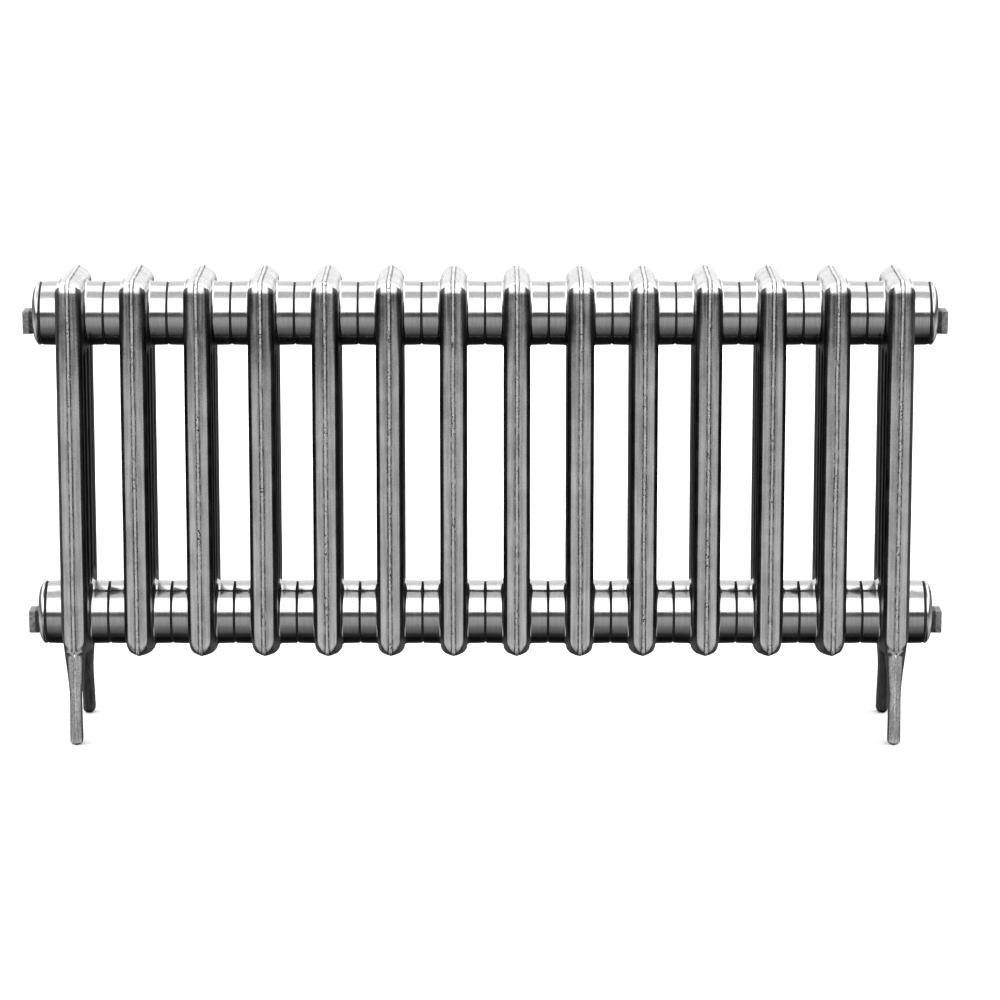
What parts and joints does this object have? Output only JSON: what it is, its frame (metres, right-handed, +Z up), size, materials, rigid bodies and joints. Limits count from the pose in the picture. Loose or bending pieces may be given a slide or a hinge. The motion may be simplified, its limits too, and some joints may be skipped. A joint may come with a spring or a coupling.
{
  "type": "column radiator",
  "caption": "Low legged cast iron column radiator of hollow sections joined on threaded nipples, with eccentric end bushes and square-headed plugs, standing on cast feet.",
  "frame": {"origin": "on the floor under the middle of the radiator", "axes": "+X along the row of sections to the right seen from the front, -Y towards the front, +Z up"},
  "size_m": [0.905, 0.149, 0.46],
  "materials": {
    "cast_iron": "bare cast iron ground and polished, with fine casting pits and a soft grey sheen",
    "nipple_steel": "plain machined, hidden inside the joints",
    "fitting_steel": "turned and polished bare metal, square heads left a little duller",
    "washer_rubber": "matt black fibre and rubber jointing ring"
  },
  "bodies": {
    "root": {"section_01": "cast_iron", "section_02": "cast_iron", "section_03": "cast_iron", "section_04": "cast_iron", "section_05": "cast_iron", "section_06": "cast_iron", "section_07": "cast_iron", "section_08": "cast_iron", "section_09": "cast_iron", "section_10": "cast_iron", "section_11": "cast_iron", "section_12": "cast_iron", "section_13": "cast_iron", "section_14": "cast_iron", "nipple_top_01": "nipple_steel", "nipple_bottom_01": "nipple_steel", "nipple_top_02": "nipple_steel", "nipple_bottom_02": "nipple_steel", "nipple_top_03": "nipple_steel", "nipple_bottom_03": "nipple_steel", "nipple_top_04": "nipple_steel", "nipple_bottom_04": "nipple_steel", "nipple_top_05": "nipple_steel", "nipple_bottom_05": "nipple_steel", "nipple_top_06": "nipple_steel", "nipple_bottom_06": "nipple_steel", "nipple_top_07": "nipple_steel", "nipple_bottom_07": "nipple_steel", "nipple_top_08": "nipple_steel", "nipple_bottom_08": "nipple_steel", "nipple_top_09": "nipple_steel", "nipple_bottom_09": "nipple_steel", "nipple_top_10": "nipple_steel", "nipple_bottom_10": "nipple_steel", "nipple_top_11": "nipple_steel", "nipple_bottom_11": "nipple_steel", "nipple_top_12": "nipple_steel", "nipple_bottom_12": "nipple_steel", "nipple_top_13": "nipple_steel", "nipple_bottom_13": "nipple_steel", "washer_top_left": "washer_rubber", "bush_top_left": "fitting_steel", "plug_top_left": "fitting_steel", "washer_top_right": "washer_rubber", "bush_top_right": "fitting_steel", "plug_top_right": "fitting_steel", "washer_bottom_left": "washer_rubber", "bush_bottom_left": "fitting_steel", "plug_bottom_left": "fitting_steel", "washer_bottom_right": "washer_rubber", "bush_bottom_right": "fitting_steel", "plug_bottom_right": "fitting_steel"}
  },
  "joints": []
}
